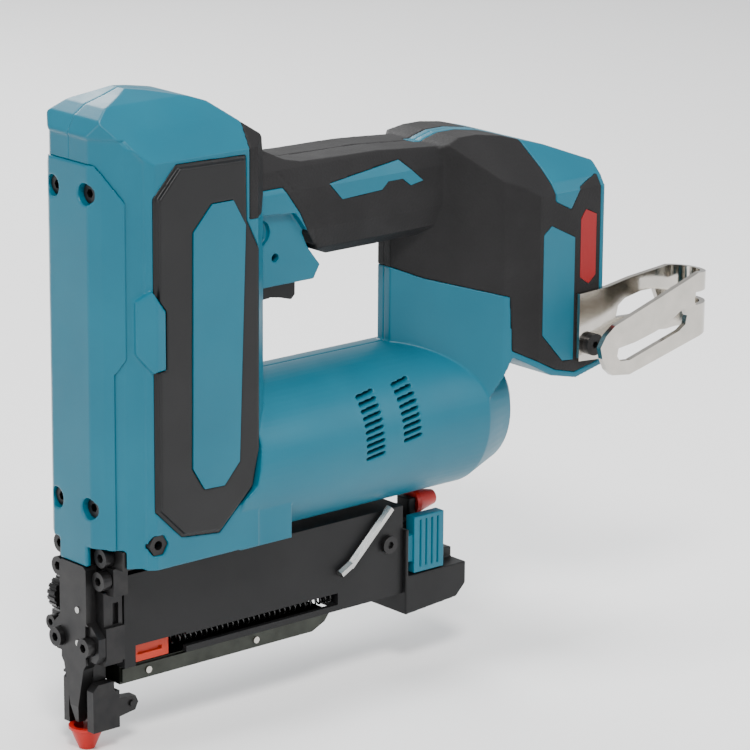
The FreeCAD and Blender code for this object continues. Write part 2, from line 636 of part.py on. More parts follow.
def lift_gear():
    """Part-toothed gear that raises the plunger, and the wheel that drives it, on one shaft."""
    outline = gear_outline(LIFT_TEETH, LIFT_MODULE, BACKLASH, 0, LIFT_ACTIVE,
                           phase=-(LIFT_ACTIVE - 1) * 2 * math.pi / LIFT_TEETH)
    sector = gear_x(outline, RACK_X0, RACK_X1, 0, LIFT_Z)
    wheel = gear_x(gear_outline(WHEEL_TEETH, TRAIN_MODULE, BACKLASH), WHEEL_X0, WHEEL_X1, 0, LIFT_Z)
    hub = rod_x(6, RACK_X1 - 0.5, WHEEL_X0 + 0.5, 0, LIFT_Z)
    shaft = rod_x(2.98, 35.0, 51.8, 0, LIFT_Z)
    return join([sector, wheel, hub, shaft])


def drive_gear():
    outline = gear_outline(DRIVE_TEETH, TRAIN_MODULE, BACKLASH, phase=math.pi / 2)
    gear = gear_x(outline, WHEEL_X0, WHEEL_X1, 0, MOTOR_Z)
    shaft = rod_x(2.98, WHEEL_X0 - 0.5, 54.6, 0, MOTOR_Z)
    return gear.fuse(shaft).removeSplitter()


SUN_R = PLANET_MODULE * SUN_TEETH / 2
PLANET_R = PLANET_MODULE * PLANET_TEETH / 2
ORBIT_R = SUN_R + PLANET_R
PLANET_X0, PLANET_X1 = 57.6, 63.6


def planet_angle(k):
    return math.radians(90 + 120 * k)


def planet_gear(k):
    angle = planet_angle(k)
    y, z = ORBIT_R * math.cos(angle), MOTOR_Z + ORBIT_R * math.sin(angle)
    outline = gear_outline(PLANET_TEETH, PLANET_MODULE, 0.2, addendum=0.85,
                           phase=angle + math.pi / PLANET_TEETH)
    gear = gear_x(outline, PLANET_X0, PLANET_X1, y, z)
    return gear.cut(rod_x(2.05, 50, 70, y, z))


def sun_outline():
    return gear_outline(SUN_TEETH, PLANET_MODULE, 0.2, addendum=0.85, phase=math.pi / 2)


def planet_carrier():
    plate = rod_x(16.5, 54.6, 57.2, 0, MOTOR_Z)
    pins = []
    for k in range(3):
        angle = planet_angle(k)
        pins.append(rod_x(2.0, 57.0, 63.8, ORBIT_R * math.cos(angle), MOTOR_Z + ORBIT_R * math.sin(angle)))
    return join([plate] + pins)


def ring_gear():
    ring = rod_x(22.6, 57.5, 63.8, 0, MOTOR_Z)
    outline = gear_outline(RING_TEETH, PLANET_MODULE, -0.2, addendum=1.25, dedendum=0.85,
                           phase=math.pi / 2 + math.pi / RING_TEETH)
    return ring.cut(gear_x(outline, 50, 70, 0, MOTOR_Z))


def gearbox_case():
    case = rod_x(24.4, 52.1, 66.2, 0, MOTOR_Z)
    case = case.cut(rod_x(22.65, 57.4, 63.9, 0, MOTOR_Z)).cut(rod_x(17.2, 54.2, 57.5, 0, MOTOR_Z))
    case = case.cut(rod_x(8.0, 63.8, 70, 0, MOTOR_Z)).cut(rod_x(3.4, 50, 60, 0, MOTOR_Z))
    return case


# ---------------------------------------------------------------- motor
STATOR_X0, STATOR_X1 = 86.0, 116.0
STATOR_R, BORE_R = 22.5, 11.0


def motor_stator():
    ring = rod_x(STATOR_R, STATOR_X0, STATOR_X1, 0, MOTOR_Z).cut(rod_x(STATOR_R - 3.5, 80, 130, 0, MOTOR_Z))
    teeth = []
    for k in range(6):
        pole = box(STATOR_X0, STATOR_X1, -2.2, 2.2, MOTOR_Z + BORE_R - 2, MOTOR_Z + STATOR_R - 2)
        shoe = box(STATOR_X0, STATOR_X1, -4.6, 4.6, MOTOR_Z + BORE_R - 1, MOTOR_Z + BORE_R + 2.2)
        winding = box(STATOR_X0 - 2, STATOR_X1 + 2, -4.4, 4.4, MOTOR_Z + BORE_R + 2.2,
                      MOTOR_Z + STATOR_R - 3.8)
        tooth = join([pole, shoe, winding])
        teeth.append(turned(tooth, vec(0, 0, MOTOR_Z), vec(1, 0, 0), 60 * k))
    return join([ring] + teeth).cut(rod_x(BORE_R, 80, 130, 0, MOTOR_Z)).removeSplitter()


def motor_rotor():
    core = rod_x(BORE_R - 0.6, STATOR_X0 + 1, STATOR_X1 - 1, 0, MOTOR_Z)
    shaft = rod_x(2.5, 64.2, 140, 0, MOTOR_Z)
    sun = gear_x(sun_outline(), PLANET_X0 + 0.2, 64.4, 0, MOTOR_Z)
    return join([core, shaft, sun])


def motor_fan():
    hub = rod_x(6, 121, 129, 0, MOTOR_Z)
    plate = rod_x(21, 121, 122.2, 0, MOTOR_Z)
    blades = []
    for k in range(12):
        blade = box(122, 129, -0.6, 0.6, MOTOR_Z + 5.5, MOTOR_Z + 20.5)
        blade = turned(blade, vec(0, 0, MOTOR_Z + 5.5), vec(1, 0, 0), 20)
        blades.append(turned(blade, vec(0, 0, MOTOR_Z), vec(1, 0, 0), 30 * k))
    return join([hub, plate] + blades).cut(rod_x(2.53, 110, 140, 0, MOTOR_Z))


BEARING_SEATS = [(69.5, 74.5), (134.0, 139.0)]


def bearings():
    """The rotor's two ball bearings, and the bushes of the two gear shafts."""
    rings = [rod_x(6.5, x0, x1, 0, MOTOR_Z).cut(rod_x(2.53, x0 - 1, x1 + 1, 0, MOTOR_Z))
             for x0, x1 in BEARING_SEATS]
    drive = rod_x(6.0, 49, 51.8, 0, MOTOR_Z).cut(rod_x(3.0, 45, 60, 0, MOTOR_Z))
    lift = rod_x(5.0, 49, 51.8, 0, LIFT_Z).cut(rod_x(3.0, 45, 60, 0, LIFT_Z))
    return group(rings + [drive, lift])


def motor_mount():
    """Two spiders that hold the motor's bearings inside the barrel."""
    mounts = []
    for x0, x1 in BEARING_SEATS:
        ring = rod_x(9.0, x0, x1, 0, MOTOR_Z).cut(rod_x(6.52, x0 - 1, x1 + 1, 0, MOTOR_Z))
        arms = []
        for k in range(3):
            arm = box(x0, x1, -2.5, 2.5, MOTOR_Z + 8, MOTOR_Z + BARREL_R - WALL - 0.3)
            arms.append(turned(arm, vec(0, 0, MOTOR_Z), vec(1, 0, 0), 120 * k))
        mounts.append(join([ring] + arms))
    return group(mounts)


# ---------------------------------------------------------------- trigger and electrics
TRIGGER_X, TRIGGER_Z = 77.0, 172.0


def trigger():
    outline = [(75.0, 172.5), (75.0, 156.5), (76.5, 154.8), (81, 155.2), (85.5, 154.4), (90.5, 153.0),
               (92.2, 154.6), (92.4, 160.0), (91.8, 172.5), (86.0, 174.5), (77, 175.5)]
    body = plate_xz(outline, -6.3, 6.3)
    body = body.cut(rod_y(1.55, -10, 10, TRIGGER_X, TRIGGER_Z))
    return body.cut(box(80, 90.5, -4.3, 4.3, 160.5, 180)).removeSplitter()


def trigger_pin():
    return rod_y(1.5, -8.6, 8.6, TRIGGER_X, TRIGGER_Z)


def trigger_spring():
    return helix_spring(2.6, 0.4, 23.8, 9, vec(86.0, 0, 161.2))


def trigger_switch():
    body = box(100, 124, -7, 7, 177, 193)
    lever = box(82.5, 100, -3.5, 3.5, 186, 191.6)
    plunger_button = rod_z(1.6, 182.0, 186.5, 91.2, 0)
    return join([body, lever, plunger_button])


BOARD_X = 168.0


def controller_board():
    board = box(BOARD_X, BOARD_X + 2, -14, 14, 128, 178)
    can = rod_x(5, BOARD_X + 2, BOARD_X + 18, -7, 165)
    chips = [box(BOARD_X + 2, BOARD_X + 5, -10, 10, 132 + 10 * k, 139 + 10 * k) for k in range(2)]
    return join([board, can] + chips)


def terminal_block():
    block = box(199.2, 206, -23, 23, 129, 171)
    contacts = []
    for y in (-15, -5, 5, 15):
        contacts.append(box(206, 214, y - 0.8, y + 0.8, 134, 166))
    return join([block] + contacts)


def battery_rails():
    rails = []
    for side in (-1, 1):
        y0, y1 = sorted((side * 20.5, side * 26.9))
        rails.append(box(214.0, 216.6, y0, y1, 116, 176))
    return group(rails)


# ---------------------------------------------------------------- belt hook
HOOK_T = 2.2
HOOK_IN = MOUNT_HALF + 0.1
HOOK_OUT = 56.0
HOOK_BEND_X = 251.0


def belt_hook():
    """Sheet-steel hook: a foot on the mount, a leg beside the battery, a bend and a sloping leg."""
    bend_r = (HOOK_OUT - HOOK_IN) / 2
    mid_y = -(HOOK_IN + HOOK_OUT) / 2
    outer = Part.makeCylinder(bend_r, 60, vec(HOOK_BEND_X, mid_y, 100))
    inner = Part.makeCylinder(bend_r - HOOK_T, 60, vec(HOOK_BEND_X, mid_y, 100))
    bend = outer.cut(inner).cut(box(200, HOOK_BEND_X, -80, 0, 90, 170))
    inner_leg = box(204, HOOK_BEND_X, -HOOK_IN - HOOK_T, -HOOK_IN, 90, 170)
    outer_leg = box(190, HOOK_BEND_X, -HOOK_OUT, -HOOK_OUT + HOOK_T, 90, 170)
    bend_top, bend_foot = 147.3, 122.0
    back_side = [(204, 117), (204, 143.2), (219, 143.8), (231, 145.6), (HOOK_BEND_X, bend_top),
                 (HOOK_BEND_X, bend_foot), (232, 123.5), (224, 122), (218, 116)]
    back_slot = [(223, 131), (224.3, 135.7), (227.7, 137.9), (236, 139.4), (243.6, 139.4), (246, 134),
                 (242, 130)]
    front_side = [(207, 133.6), (228, 140), (245, 145.3), (HOOK_BEND_X, bend_top),
                  (HOOK_BEND_X, bend_foot), (235.7, 118.3), (215, 113.4), (206, 114.6), (202.9, 117.2),
                  (200.6, 121.8), (199.6, 126.2), (202.5, 130.4)]
    front_slot = [(209, 124.6), (218, 125.6), (228, 127.8), (235.3, 130), (241, 133.4), (243.4, 134.6),
                  (245.2, 131.4), (244.4, 128), (241.2, 126), (228.5, 122.6), (215, 119), (210, 119.4),
                  (208.4, 121.6)]
    inner_part = inner_leg.common(plate_xz(back_side, -80, 0)).cut(plate_xz(back_slot, -80, 0))
    inner_part = inner_part.cut(rod_y(2.3, -80, 0, HOOK_X, HOOK_Z))
    bend_end = [(HOOK_BEND_X, bend_top), (262, bend_top - 1.2), (262, bend_foot + 2),
                (HOOK_BEND_X, bend_foot)]
    bend_part = bend.common(plate_xz(bend_end, -80, 0))
    outer_part = outer_leg.common(plate_xz(front_side, -80, 0)).cut(plate_xz(front_slot, -80, 0))
    notch = box(HOOK_BEND_X - 1.8, 270, -80, mid_y + 1, 134.8, 139.8)
    return join([inner_part, bend_part, outer_part]).cut(notch)


def hook_screw():
    seat = -HOOK_IN - HOOK_T
    head = rod_y(4.2, seat - 2.6, seat - 0.02, HOOK_X, HOOK_Z)
    shank = rod_y(M4_R, seat - 0.1, -26, HOOK_X, HOOK_Z)
    slot = hexagon_prism(2.5, vec(HOOK_X, seat - 2.7, HOOK_Z), "y", 1.6)
    return head.fuse(shank).cut(slot).removeSplitter()


def hex_nut(across_flats, y0, y1, x, z, bore_r):
    return hexagon_prism(across_flats, vec(x, y0, z), "y", y1 - y0).cut(rod_y(bore_r, y0 - 1, y1 + 1, x, z))


def nuts():
    """Threaded inserts for the hook on both sides, and the nut in the left side of the tower."""
    hook = hex_nut(7.0, -32.8, -27.6, HOOK_X, HOOK_Z, M4_R + 0.03)
    spare = hex_nut(7.0, 27.6, 32.8, HOOK_X, HOOK_Z, M4_R + 0.03)
    return group([hook, spare, hex_nut(6.9, -26.2, -23.9, NUT_X, NUT_Z, 1.7)])


# ---------------------------------------------------------------- magazine
RAIL_TOP = 31.0
CHANNEL = 0.7            # half width of the nail channel
WINDOW = (13.0, 36.0, 27.2, 39.0)


def magazine_body():
    """Fixed half: the right-hand wall, the roof under the housing and the rear post."""
    wall = box(MAG_FRONT, MAG_REAR, CHANNEL, MAG_HALF, RAIL_TOP + 0.2, MAG_TOP)
    roof = box(20, 49.4, -11.8, 11.8, MAG_TOP, TOWER_FOOT - 0.4)
    post = box(8.6, 14, 0.8, 11.8, MAG_TOP - 1, TOWER_FOOT - 0.4)
    channel = box(MAG_FRONT - 1, MAG_REAR - 3, 0, 4.0, 30, 41.8)
    return join([wall, roof, post]).cut(channel)


def magazine_rail():
    """Steel rail under both halves, which the door slides on."""
    base = plate_xz([(MAG_FRONT, MAG_FOOT), (98, MAG_FOOT), (RAIL_REAR, 27.2), (RAIL_REAR + 3, RAIL_TOP),
                     (MAG_FRONT, RAIL_TOP)], -9.5, 9.5)
    step = plate_xz([(MAG_FRONT + 0.4, 25.4), (97.6, 25.4), (102.6, 27.8), (105, 30.4),
                     (MAG_FRONT + 0.4, 30.4)], -10.6, 10.6)
    rail = base.fuse(step)
    for x in (20.0, 70.0):
        rail = rail.cut(rod_y(1.3, -20, 20, x, 27.9))
    return rail.removeSplitter()


def rail_rivets():
    return group([rod_y(1.27, -11.2, 11.2, x, 27.9) for x in (20.0, 70.0)])


def magazine_door():
    """Sliding half that opens the nail channel; its window shows the pusher."""
    wall = box(MAG_FRONT, MAG_REAR, -MAG_HALF, -CHANNEL, RAIL_TOP + 0.3, MAG_TOP - 0.4)
    pocket = box(MAG_FRONT + 4, MAG_REAR - 8, -MAG_HALF + 2.2, -4.2, 43.5, MAG_TOP - 5)
    door = wall.cut(pocket)
    door = door.cut(box(MAG_FRONT + 3, 108.5, -MAG_HALF + 2.0, 0, RAIL_TOP - 1, 41.0))
    x0, x1, z0, z1 = WINDOW
    door = door.cut(box(x0, x1, -20, 0, z0, z1))
    door = door.cut(box(x1 - 1, 108, -20, -5, 33.6, 38.2))
    return door.cut(rod_y(2.6, -20, -9.6, 132.4, 52.4)).removeSplitter()


def end_cap():
    """Moulded cap on the rear of the door; it holds the latch lever and the spare tip."""
    outline = [(MAG_REAR + 0.1, 23.0), (166.0, 25.0), (170.5, 29.5), (170.5, 42.0), (165.5, 42.6),
               (160.5, 50.5), (160.5, 56.8), (MAG_REAR + 0.1, 56.8)]
    cap = plate_xz(outline, -14.5, 14.5)
    cap = cap.cut(box(141.4, 172, -15, -6.2, 38.2, 58))
    cap = cap.cut(box(144, 167, -12, 12, 27, 36))
    post = box(PEG_X - 3.6, PEG_X, PEG_Y - 3.6, PEG_Y + 3.6, 56, PEG_Z + 2.6)
    peg = rod_x(1.8, PEG_X - 1, PEG_X + 7, PEG_Y, PEG_Z)
    return join([cap, post, peg])


def latch_lever():
    """Ribbed lever that frees the door when its rear end is pressed inward."""
    body = box(144.4, 159.4, -14.2, -9.4, 38.7, 60.8)
    tab = box(141.9, 145.0, -13.0, -9.6, 43.2, 53.6)
    pivot = rod_z(2.3, 43.4, 53.4, 144.0, -8.9)
    lever = join([body, tab, pivot])
    for k in range(4):
        x = 147.6 + 2.9 * k
        lever = lever.cut(box(x - 0.45, x + 0.45, -15, -13.2, 40.6, 59.4))
    return lever.removeSplitter()


def pusher():
    """Bright slider that presses the nails toward the driver."""
    shoe = box(MAG_FRONT + 4.2, 33.0, -3.4, 3.4, RAIL_TOP + 0.4, 40.6)
    flag = box(MAG_FRONT + 6.5, 30.0, -9.6, -3.0, RAIL_TOP + 0.4, 38.2)
    nose = plate_xz([(MAG_FRONT + 1.4, 35), (MAG_FRONT + 4.5, 33), (MAG_FRONT + 4.5, 40.4)], -0.6, 0.6)
    notch = box(16, 27, -12, -8.4, 34.0, 35.6)
    return join([shoe, flag, nose]).cut(notch).removeSplitter()


def pusher_spring():
    return helix_spring(2.0, 0.35, 74.0, 30, vec(33.8, -7.2, 35.9), "x")


def latch_spring():
    return helix_spring(1.7, 0.3, 2.6, 4, vec(154.0, -9.1, 44.0), "y")


def hex_wrench():
    """Key for the nose screws, clipped to the outside of the door."""
    y = -MAG_HALF - 0.1 - HEX_KEY_AF / 2
    long_leg = hexagon_prism(HEX_KEY_AF, vec(0, 0, 0), "z", 27.5)
    long_leg.rotate(vec(0, 0, 0), vec(0, 1, 0), 46.5)
    long_leg.translate(vec(112.3, y, 48.2))
    short_leg = hexagon_prism(HEX_KEY_AF, vec(0, 0, 0), "z", 6.2)
    short_leg.rotate(vec(0, 0, 0), vec(0, 1, 0), -118)
    short_leg.translate(vec(113.1, y, 49.0))
    return long_leg.fuse(short_leg).removeSplitter()


def door_screw():
    head = rod_y(3.4, -MAG_HALF - 1.9, -MAG_HALF - 0.02, 132.4, 52.4)
    shank = rod_y(2.5, -MAG_HALF - 0.1, -9.7, 132.4, 52.4)
    slot = hexagon_prism(2.6, vec(132.4, -MAG_HALF - 2.0, 52.4), "y", 1.2)
    return head.fuse(shank).cut(slot).removeSplitter()


# ---------------------------------------------------------------- all nodes
def make_nodes():
    nodes = {}
    make_body_nodes(nodes)
    makers = [drive_frame, driver_guide, nose_plate, nose_pins, front_screws, dial_bracket, depth_dial,
              contact_arm, contact_pin, nose_adapter, spare_adapter, plunger, driver_blade, main_spring,
              bumper, guide_rod, lift_gear, drive_gear, planet_carrier, ring_gear, gearbox_case,
              motor_stator, motor_rotor, motor_fan, bearings, motor_mount, trigger, trigger_pin,
              trigger_spring, trigger_switch, controller_board, terminal_block, battery_rails, belt_hook,
              hook_screw, nuts, magazine_body, magazine_rail, rail_rivets, magazine_door, end_cap,
              latch_lever, latch_spring, pusher, pusher_spring, hex_wrench, door_screw]
    for maker in makers:
        nodes[maker.__name__] = maker()
    for k in range(3):
        nodes["planet_gear_%d" % (k + 1)] = planet_gear(k)
    return nodes


def main():
    os.makedirs(PARTS, exist_ok=True)
    for name, shape in make_nodes().items():
        shape.exportStep(os.path.join(PARTS, name + ".step"))


main()
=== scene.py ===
"""Looks for the cordless brad nailer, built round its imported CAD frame.

Everything is in metres in the row's frame: +X rearward, +Y the tool's right-hand side, +Z up.
"""

import json
import math

import bpy
from mathutils import Matrix, Vector


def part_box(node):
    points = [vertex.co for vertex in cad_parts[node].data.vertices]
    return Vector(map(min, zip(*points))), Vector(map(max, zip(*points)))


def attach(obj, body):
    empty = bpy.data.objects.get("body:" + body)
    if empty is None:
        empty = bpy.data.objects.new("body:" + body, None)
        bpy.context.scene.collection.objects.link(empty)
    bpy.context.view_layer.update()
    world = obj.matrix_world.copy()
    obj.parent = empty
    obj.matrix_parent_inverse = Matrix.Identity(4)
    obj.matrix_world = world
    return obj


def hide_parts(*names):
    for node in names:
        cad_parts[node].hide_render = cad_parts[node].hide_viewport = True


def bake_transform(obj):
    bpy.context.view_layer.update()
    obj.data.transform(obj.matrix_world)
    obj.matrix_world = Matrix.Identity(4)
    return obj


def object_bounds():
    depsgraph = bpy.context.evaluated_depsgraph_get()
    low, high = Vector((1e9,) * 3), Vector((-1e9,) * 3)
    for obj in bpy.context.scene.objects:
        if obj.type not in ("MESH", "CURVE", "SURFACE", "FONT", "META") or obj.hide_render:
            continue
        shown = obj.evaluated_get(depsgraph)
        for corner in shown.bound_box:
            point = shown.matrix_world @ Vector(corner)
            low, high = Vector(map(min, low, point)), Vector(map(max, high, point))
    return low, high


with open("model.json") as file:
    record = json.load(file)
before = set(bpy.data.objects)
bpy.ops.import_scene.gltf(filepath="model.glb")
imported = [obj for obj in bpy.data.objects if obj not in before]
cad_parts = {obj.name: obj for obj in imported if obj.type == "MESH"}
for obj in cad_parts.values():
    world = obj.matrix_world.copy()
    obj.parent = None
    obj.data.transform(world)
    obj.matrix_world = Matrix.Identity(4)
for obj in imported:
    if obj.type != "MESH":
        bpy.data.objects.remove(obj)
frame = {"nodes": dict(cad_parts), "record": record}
CAD_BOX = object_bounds()

MM = 0.001

# ---------------------------------------------------------------- camera, floor and light
CAMERA_AZIMUTH = -41.0           # degrees, 0 looks along +Y
CAMERA_ELEVATION = 15.5
CAMERA_ROLL = 0.4
CAMERA_DISTANCE = 1.40743
CAMERA_LENS = 187.2              # mm
CAMERA_SENSOR = 36               # mm
CAMERA_TARGET = Vector((0.10136, -0.04039, 0.12989))
LIGHT_TARGET = (0.11, 0, 0.12)
WORLD_COLOUR = (0.97, 0.985, 1.0, 1)
WORLD_STRENGTH = 0.75
FLOOR_HALF = 6.0
FLOOR_GAP = 0.2 * MM             # under the lowest point of the tool


def link(thing):
    bpy.context.scene.collection.objects.link(thing)


def view_axes(azimuth, elevation, roll):
    """Right, up and backward directions of a camera that looks from there."""
    az, el, tilt = (math.radians(angle) for angle in (azimuth, elevation, roll))
    back = Vector((math.sin(az) * math.cos(el), -math.cos(az) * math.cos(el), math.sin(el)))
    right = Vector((0, 0, 1)).cross(back).normalized()
    up = back.cross(right)
    rolled_right = right * math.cos(tilt) + up * math.sin(tilt)
    rolled_up = up * math.cos(tilt) - right * math.sin(tilt)
    return rolled_right, rolled_up, back


def make_camera():
    right, up, back = view_axes(CAMERA_AZIMUTH, CAMERA_ELEVATION, CAMERA_ROLL)
    data = bpy.data.cameras.new("camera")
    data.lens = CAMERA_LENS
    data.sensor_width = CAMERA_SENSOR
    data.clip_start = 0.05
    data.clip_end = 50
    camera = bpy.data.objects.new("camera", data)
    place = CAMERA_TARGET + back * CAMERA_DISTANCE
    turn = Matrix((right, up, back)).transposed().to_4x4()
    camera.matrix_world = Matrix.Translation(place) @ turn
    link(camera)
    bpy.context.scene.camera = camera


def area_light(name, place, size, power, colour=(1, 1, 1)):
    data = bpy.data.lights.new(name, "AREA")
    data.shape = "DISK"
    data.size = size
    data.energy = power
    data.color = colour
    light = bpy.data.objects.new(name, data)
    light.location = place
    backward = Vector(place) - Vector(LIGHT_TARGET)
    light.rotation_euler = backward.to_track_quat("Z", "Y").to_euler()
    link(light)


def make_lights():
    area_light("key", (-0.7, -1.1, 1.6), 0.5, 38, (1.0, 0.98, 0.96))
    area_light("fill", (1.2, -1.0, 0.7), 0.8, 6, (0.96, 0.98, 1.0))
    area_light("front", (-1.3, 0.4, 0.5), 0.5, 6)
    area_light("back", (0.5, 1.3, 0.9), 0.7, 14)
    area_light("top", (0.1, 0.0, 1.5), 0.5, 18)
    world = bpy.data.worlds.new("studio")
    world.use_nodes = True
    background = world.node_tree.nodes["Background"]
    background.inputs["Color"].default_value = WORLD_COLOUR
    background.inputs["Strength"].default_value = WORLD_STRENGTH
    bpy.context.scene.world = world


def make_floor(material):
    signs = [(-1, -1), (1, -1), (1, 1), (-1, 1)]
    corners = [(x * FLOOR_HALF, y * FLOOR_HALF, 0) for x, y in signs]
    mesh = bpy.data.meshes.new("floor")
    mesh.from_pydata(corners, [], [(0, 1, 2, 3)])
    mesh.materials.append(material)
    floor = bpy.data.objects.new("floor", mesh)
    floor.location.z = CAD_BOX[0][2] - FLOOR_GAP
    link(floor)


# ---------------------------------------------------------------- materials
NOISE_LOW = 0.3                  # nearly all of a noise texture lies between these two
NOISE_HIGH = 0.7
MIX_FACTOR = 0                   # sockets of a colour mix, which share their names with other kinds
MIX_FIRST = 6
MIX_SECOND = 7
MIX_RESULT = 2
PEBBLES_PER_METRE = 1150
RUBBER_SPECULAR = 0.22


def new_material(name):
    """A material, its nodes and links, and its shader."""
    material = bpy.data.materials.new(name)
    material.use_nodes = True
    nodes = material.node_tree.nodes
    return material, nodes, material.node_tree.links, nodes["Principled BSDF"]


def noise_node(nodes, links, scale, detail=2.0, stretch=None):
    """Noise over the object's own coordinates, in features per metre."""
    coords = nodes.new("ShaderNodeTexCoord")
    node = nodes.new("ShaderNodeTexNoise")
    node.inputs["Scale"].default_value = scale
    node.inputs["Detail"].default_value = detail
    source = coords.outputs["Object"]
    if stretch:
        mapping = nodes.new("ShaderNodeMapping")
        mapping.inputs["Scale"].default_value = stretch
        links.new(source, mapping.inputs["Vector"])
        source = mapping.outputs["Vector"]
    links.new(source, node.inputs["Vector"])
    return node.outputs["Fac"]


def spread(nodes, links, noise, low, high):
    """The noise stretched to run from low to high."""
    node = nodes.new("ShaderNodeMapRange")
    node.inputs["From Min"].default_value = NOISE_LOW
    node.inputs["From Max"].default_value = NOISE_HIGH
    node.inputs["To Min"].default_value = low
    node.inputs["To Max"].default_value = high
    links.new(noise, node.inputs["Value"])
    return node.outputs["Result"]


def mixed(nodes, links, factor, first, second):
    """Blend of two colours, from the first at 0 to the second at 1."""
    node = nodes.new("ShaderNodeMix")
    node.data_type = "RGBA"
    links.new(factor, node.inputs[MIX_FACTOR])
    node.inputs[MIX_FIRST].default_value = (*first, 1)
    node.inputs[MIX_SECOND].default_value = (*second, 1)
    return node.outputs[MIX_RESULT]


def mottled(nodes, links, shader, mottle, colour, shade):
    """Base colour that drifts between two near tones."""
    factor = spread(nodes, links, mottle, 0, 1)
    links.new(mixed(nodes, links, factor, colour, shade), shader.inputs["Base Color"])


def rubbed(nodes, links, shader, rub, low, high):
    """Roughness that drifts, as on a surface rubbed by hands."""
    links.new(spread(nodes, links, rub, low, high), shader.inputs["Roughness"])


def bumped(nodes, links, height, distance, strength, previous=None):
    node = nodes.new("ShaderNodeBump")
    node.inputs["Distance"].default_value = distance
    node.inputs["Strength"].default_value = strength
    links.new(height, node.inputs["Height"])
    if previous:
        links.new(previous, node.inputs["Normal"])
    return node.outputs["Normal"]


def plastic(name, colour, shade, roughness, specular, grain=1400):
    """Moulded plastic: spark-eroded grain, faint mottling, rubbed patches that shine more."""
    material, nodes, links, shader = new_material(name)
    mottle = noise_node(nodes, links, 26, 4)
    mottled(nodes, links, shader, mottle, colour, shade)
    rub = noise_node(nodes, links, 55, 6)
    rubbed(nodes, links, shader, rub, roughness - 0.05, roughness + 0.07)
    fine = noise_node(nodes, links, grain, 3)
    normal = bumped(nodes, links, fine, 0.06 * MM, 0.35)
    scratch = noise_node(nodes, links, 260, 5, (0.25, 1.0, 2.4))
    normal = bumped(nodes, links, scratch, 0.05 * MM, 0.10, normal)
    links.new(normal, shader.inputs["Normal"])
    shader.inputs["Specular IOR Level"].default_value = specular
    return material


def rubber(name, colour, shade, roughness=0.62):
    """Soft overmoulding with a pebbled skin."""
    material, nodes, links, shader = new_material(name)
    mottle = noise_node(nodes, links, 34, 5)
    mottled(nodes, links, shader, mottle, colour, shade)
    rub = noise_node(nodes, links, 60, 5)
    rubbed(nodes, links, shader, rub, roughness - 0.07, roughness + 0.08)
    coords = nodes.new("ShaderNodeTexCoord")
    pebbles = nodes.new("ShaderNodeTexVoronoi")
    pebbles.feature = "SMOOTH_F1"
    pebbles.inputs["Scale"].default_value = PEBBLES_PER_METRE
    links.new(coords.outputs["Object"], pebbles.inputs["Vector"])
    normal = bumped(nodes, links, pebbles.outputs["Distance"], 0.16 * MM, 0.55)
    fine = noise_node(nodes, links, 3200, 2)
    normal = bumped(nodes, links, fine, 0.04 * MM, 0.3, normal)
    links.new(normal, shader.inputs["Normal"])
    shader.inputs["Specular IOR Level"].default_value = RUBBER_SPECULAR
    return material


def metal(name, colour, shade, roughness, metallic=1.0, grain=900, depth=0.03 * MM):
    """Bare, plated, blackened or cast metal with a fine grain and finger smudges."""
    material, nodes, links, shader = new_material(name)
    shader.inputs["Metallic"].default_value = metallic
    mottle = noise_node(nodes, links, 180, 6)
    mottled(nodes, links, shader, mottle, colour, shade)
    smudge = noise_node(nodes, links, 75, 5)
    rubbed(nodes, links, shader, smudge, roughness - 0.06, roughness + 0.08)
    fine = noise_node(nodes, links, grain, 4)
    links.new(bumped(nodes, links, fine, depth, 0.35), shader.inputs["Normal"])
    return material


def floor_material():
    material, nodes, links, shader = new_material("floor_paper")
    tone = noise_node(nodes, links, 3, 3)
    links.new(mixed(nodes, links, tone, (0.86, 0.86, 0.86), (0.89, 0.89, 0.89)),
              shader.inputs["Base Color"])
    shader.inputs["Roughness"].default_value = 0.9
    return material


MATERIALS = {
    "teal": plastic("teal_plastic", (0.001, 0.105, 0.160), (0.001, 0.090, 0.140), 0.40, 0.3),
    "black": plastic("black_plastic", (0.006, 0.006, 0.0065), (0.009, 0.009, 0.0095), 0.44, 0.22),
    "glossy_black": plastic("black_moulding", (0.005, 0.005, 0.0055), (0.008, 0.008, 0.0085), 0.36,
                            0.26, grain=900),
    "grip": rubber("grip_rubber", (0.007, 0.0066, 0.007), (0.011, 0.0105, 0.011)),
    "red": plastic("red_plastic", (0.24, 0.002, 0.004), (0.20, 0.002, 0.003), 0.32, 0.3),
    "tip": plastic("tip_plastic", (0.42, 0.010, 0.006), (0.36, 0.008, 0.005), 0.36, 0.3),
    "orange": plastic("pusher_enamel", (0.44, 0.026, 0.006), (0.38, 0.022, 0.005), 0.34, 0.3),
    "black_steel": metal("black_oxide", (0.014, 0.014, 0.015), (0.024, 0.023, 0.023), 0.34, 0.7),
    "nickel": metal("nickel_plate", (0.52, 0.49, 0.45), (0.45, 0.43, 0.39), 0.13),
    "bright": metal("bright_steel", (0.46, 0.46, 0.45), (0.38, 0.38, 0.37), 0.30),
    "rail": metal("rail_steel", (0.050, 0.053, 0.046), (0.034, 0.036, 0.032), 0.34),
    "dark_spring": metal("dark_spring_wire", (0.08, 0.08, 0.08), (0.055, 0.055, 0.055), 0.34),
    "cast": metal("die_cast_zinc", (0.46, 0.46, 0.47), (0.38, 0.38, 0.39), 0.46, grain=500,
                  depth=0.06 * MM),
    "bumper": rubber("bumper_rubber", (0.015, 0.015, 0.015), (0.02, 0.02, 0.02), 0.7),
}

